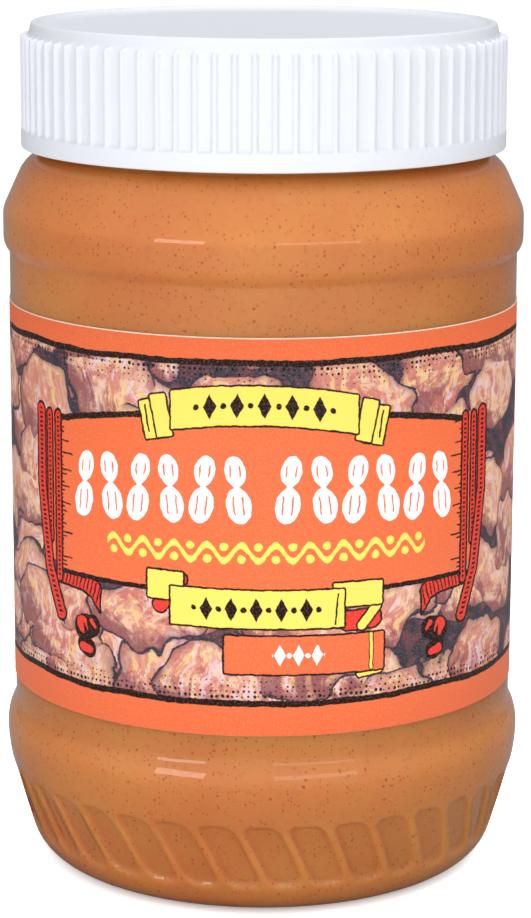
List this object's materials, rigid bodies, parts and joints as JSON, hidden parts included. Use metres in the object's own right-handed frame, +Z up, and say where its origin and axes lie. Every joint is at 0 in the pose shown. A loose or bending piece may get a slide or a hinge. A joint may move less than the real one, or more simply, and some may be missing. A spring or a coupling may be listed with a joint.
{
  "type": "peanut butter jar",
  "caption": "Clear squat jar full of peanut butter, with a white ribbed screw cap, a wrap-round paper label and leaning heel panels.",
  "frame": {"origin": "centre of the standing ring at the jar's foot", "axes": "+Z up along the jar's axis, -Y towards the middle of the label's face, +X to the right seen from the front"},
  "size_m": [0.079, 0.079, 0.1278],
  "materials": {
    "clear_plastic": "clear, glossy",
    "cap_plastic": "satin",
    "spread": "smooth, moist, with fine specks",
    "label_paper": "satin print"
  },
  "bodies": {
    "root": {"jar": "clear_plastic", "peanut_butter": "spread", "cap": "cap_plastic", "label": "label_paper"}
  },
  "joints": []
}
